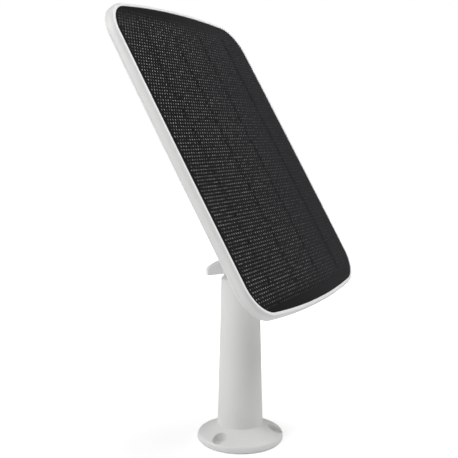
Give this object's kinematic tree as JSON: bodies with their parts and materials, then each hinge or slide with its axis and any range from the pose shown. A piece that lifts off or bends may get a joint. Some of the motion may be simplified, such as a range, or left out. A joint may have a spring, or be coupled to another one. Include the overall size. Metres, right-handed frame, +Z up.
{
  "type": "solar charging panel with post mount",
  "caption": "Small black-faced solar charging panel in a white tub, on a round tapered post with a lockable ball joint, a winged collar and a screw-down base disc.",
  "frame": {"origin": "centre of the base disc's underside, on the post's axis", "axes": "+Z up along the post, the panel faces -Y, +X across the panel's width"},
  "size_m": [0.1494, 0.1048, 0.2667],
  "materials": {
    "white_plastic": "fine satin moulding, UV-stable",
    "soft_white_plastic": "satin moulding",
    "steel": "plated, satin",
    "seat_polymer": "matt low-wear polymer",
    "brass": "turned",
    "black_film": "satin film with a fine hexagonal texture",
    "clear_resin": "clear resin",
    "silicon": "dark blue-black silicon",
    "ribbon_black": "black-coated copper",
    "board": "solder-masked glass-fibre board",
    "adhesive": "cured silicone bead",
    "wire_red": "extruded insulation",
    "wire_black": "extruded insulation",
    "ferrite": "moulded ferrite",
    "black_epoxy": "moulded epoxy",
    "can_metal": "drawn can",
    "terminal_metal": "tinned",
    "black_rubber": "matt elastomer",
    "dark_plastic": "moulded nylon",
    "seal_rubber": "matt elastomer"
  },
  "bodies": {
    "mount": {"base_post": "white_plastic", "socket_collet": "soft_white_plastic", "socket_screw": "steel"},
    "seat": {"ball_seat": "seat_polymer"},
    "stud": {"ball_stud": "steel"},
    "jam": {"jam_nut": "soft_white_plastic"},
    "slip": {"slip_ring": "steel"},
    "collar": {"wing_collar": "white_plastic"},
    "panel": {"thread_insert": "brass", "panel_shell": "white_plastic", "front_film": "black_film", "encapsulant": "clear_resin", "solar_cells": "silicon", "cell_ribbons": "ribbon_black", "backing_board": "board", "panel_adhesive": "adhesive", "lead_red": "wire_red", "lead_black": "wire_black", "charge_board": "board", "board_inductor": "ferrite", "board_converter": "black_epoxy", "board_capacitors": "can_metal", "board_diode": "black_epoxy", "board_terminals": "terminal_metal", "board_screws": "steel", "box_gasket": "black_rubber", "box_cover": "white_plastic", "cover_screws": "steel", "gland_body": "dark_plastic", "gland_seal": "seal_rubber", "gland_cap": "dark_plastic", "gland_nut": "dark_plastic"}
  },
  "joints": [
    {"name": "pan", "type": "hinge", "parent": "mount", "child": "seat", "pos_m": [0, 0, 0.1138], "axis": [0, 0, 1], "continuous": true},
    {"name": "tilt", "type": "hinge", "parent": "seat", "child": "stud", "pos_m": [0, 0, 0.1138], "axis": [1, 0, 0], "range_deg": [-105, 2]},
    {"name": "panel_turn", "type": "hinge", "parent": "stud", "child": "panel", "pos_m": [0, 0, 0.1138], "axis": [0, -0.866, 0.5], "range_deg": [-90, 90]},
    {"name": "jam_nut_turn", "type": "hinge", "parent": "stud", "child": "jam", "pos_m": [0, 0, 0.1138], "axis": [0, -0.866, 0.5], "range_deg": [-90, 0]},
    {"name": "collar_lift", "type": "slide", "parent": "mount", "child": "slip", "axis": [0, 0, 1], "range_m": [0, 0.0005]},
    {"name": "collar_turn", "type": "hinge", "parent": "slip", "child": "collar", "pos_m": [0, 0, 0.1138], "axis": [0, 0, 1], "range_deg": [0, 90]}
  ],
  "couplings": [
    {"joint": "collar_turn", "follows": "collar_lift", "rad_per_m": 3141.6}
  ]
}
